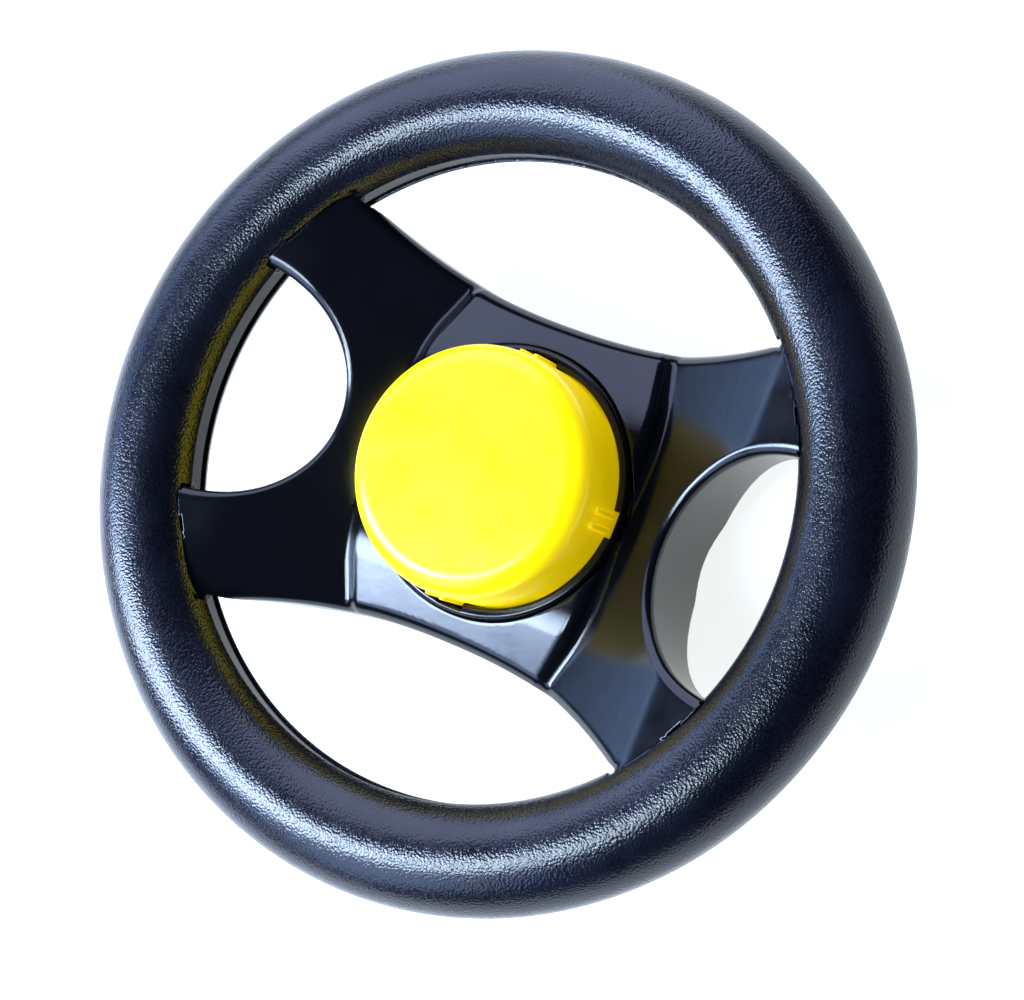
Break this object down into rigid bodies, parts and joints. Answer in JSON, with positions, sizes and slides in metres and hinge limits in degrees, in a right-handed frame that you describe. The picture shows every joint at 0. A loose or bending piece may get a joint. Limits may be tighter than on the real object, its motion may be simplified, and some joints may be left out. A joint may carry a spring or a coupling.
{
  "type": "play steering wheel",
  "caption": "Round play steering wheel with a thick grained rim, dished spokes and a domed push horn, turning on an axle in a round screw-down base.",
  "frame": {"origin": "centre of the underside of the mounting base, on the wheel's axis", "axes": "+Z along the axle towards the horn cap; +X through one of the two small openings; +Y through one of the two large openings"},
  "size_m": [0.3, 0.3, 0.08],
  "materials": {
    "black_gloss": "high gloss moulded",
    "black_satin": "satin moulded",
    "black_grip": "fine leather grain, moulded soft skin",
    "yellow_gloss": "gloss moulded",
    "nylon": "as moulded",
    "red_rubber": "matt",
    "steel": "ground",
    "zinc": "zinc plated",
    "spring_steel": "bright drawn wire"
  },
  "bodies": {
    "base": {"mounting_base": "black_gloss", "axle_bolt": "zinc", "axle_sleeve": "steel", "thrust_washer": "steel", "nut_washer": "zinc", "lock_nut": "zinc"},
    "wheel": {"wheel_spider": "black_gloss", "rim_grip": "black_grip", "rear_bush": "nylon", "front_bush": "nylon", "back_cover": "black_satin", "horn_bezel": "black_gloss", "horn_base": "black_satin", "squeaker_reed": "nylon", "squeaker_bellows": "red_rubber", "return_spring": "spring_steel", "cover_screw_1": "zinc", "cover_screw_2": "zinc", "cover_screw_3": "zinc", "cover_screw_4": "zinc", "horn_base_screw_1": "zinc", "horn_base_screw_2": "zinc", "horn_base_screw_3": "zinc", "horn_base_screw_4": "zinc"},
    "horn": {"horn_cap": "yellow_gloss"}
  },
  "joints": [
    {"name": "wheel_spin", "type": "hinge", "parent": "base", "child": "wheel", "pos_m": [0, 0, 0.06], "axis": [0, 0, 1], "continuous": true},
    {"name": "horn_press", "type": "slide", "parent": "wheel", "child": "horn", "axis": [0, 0, -1], "range_m": [0, 0.005], "stiffness_N_per_m": 900, "springref_m": -0.002, "deforming": ["return_spring", "squeaker_bellows"]}
  ]
}
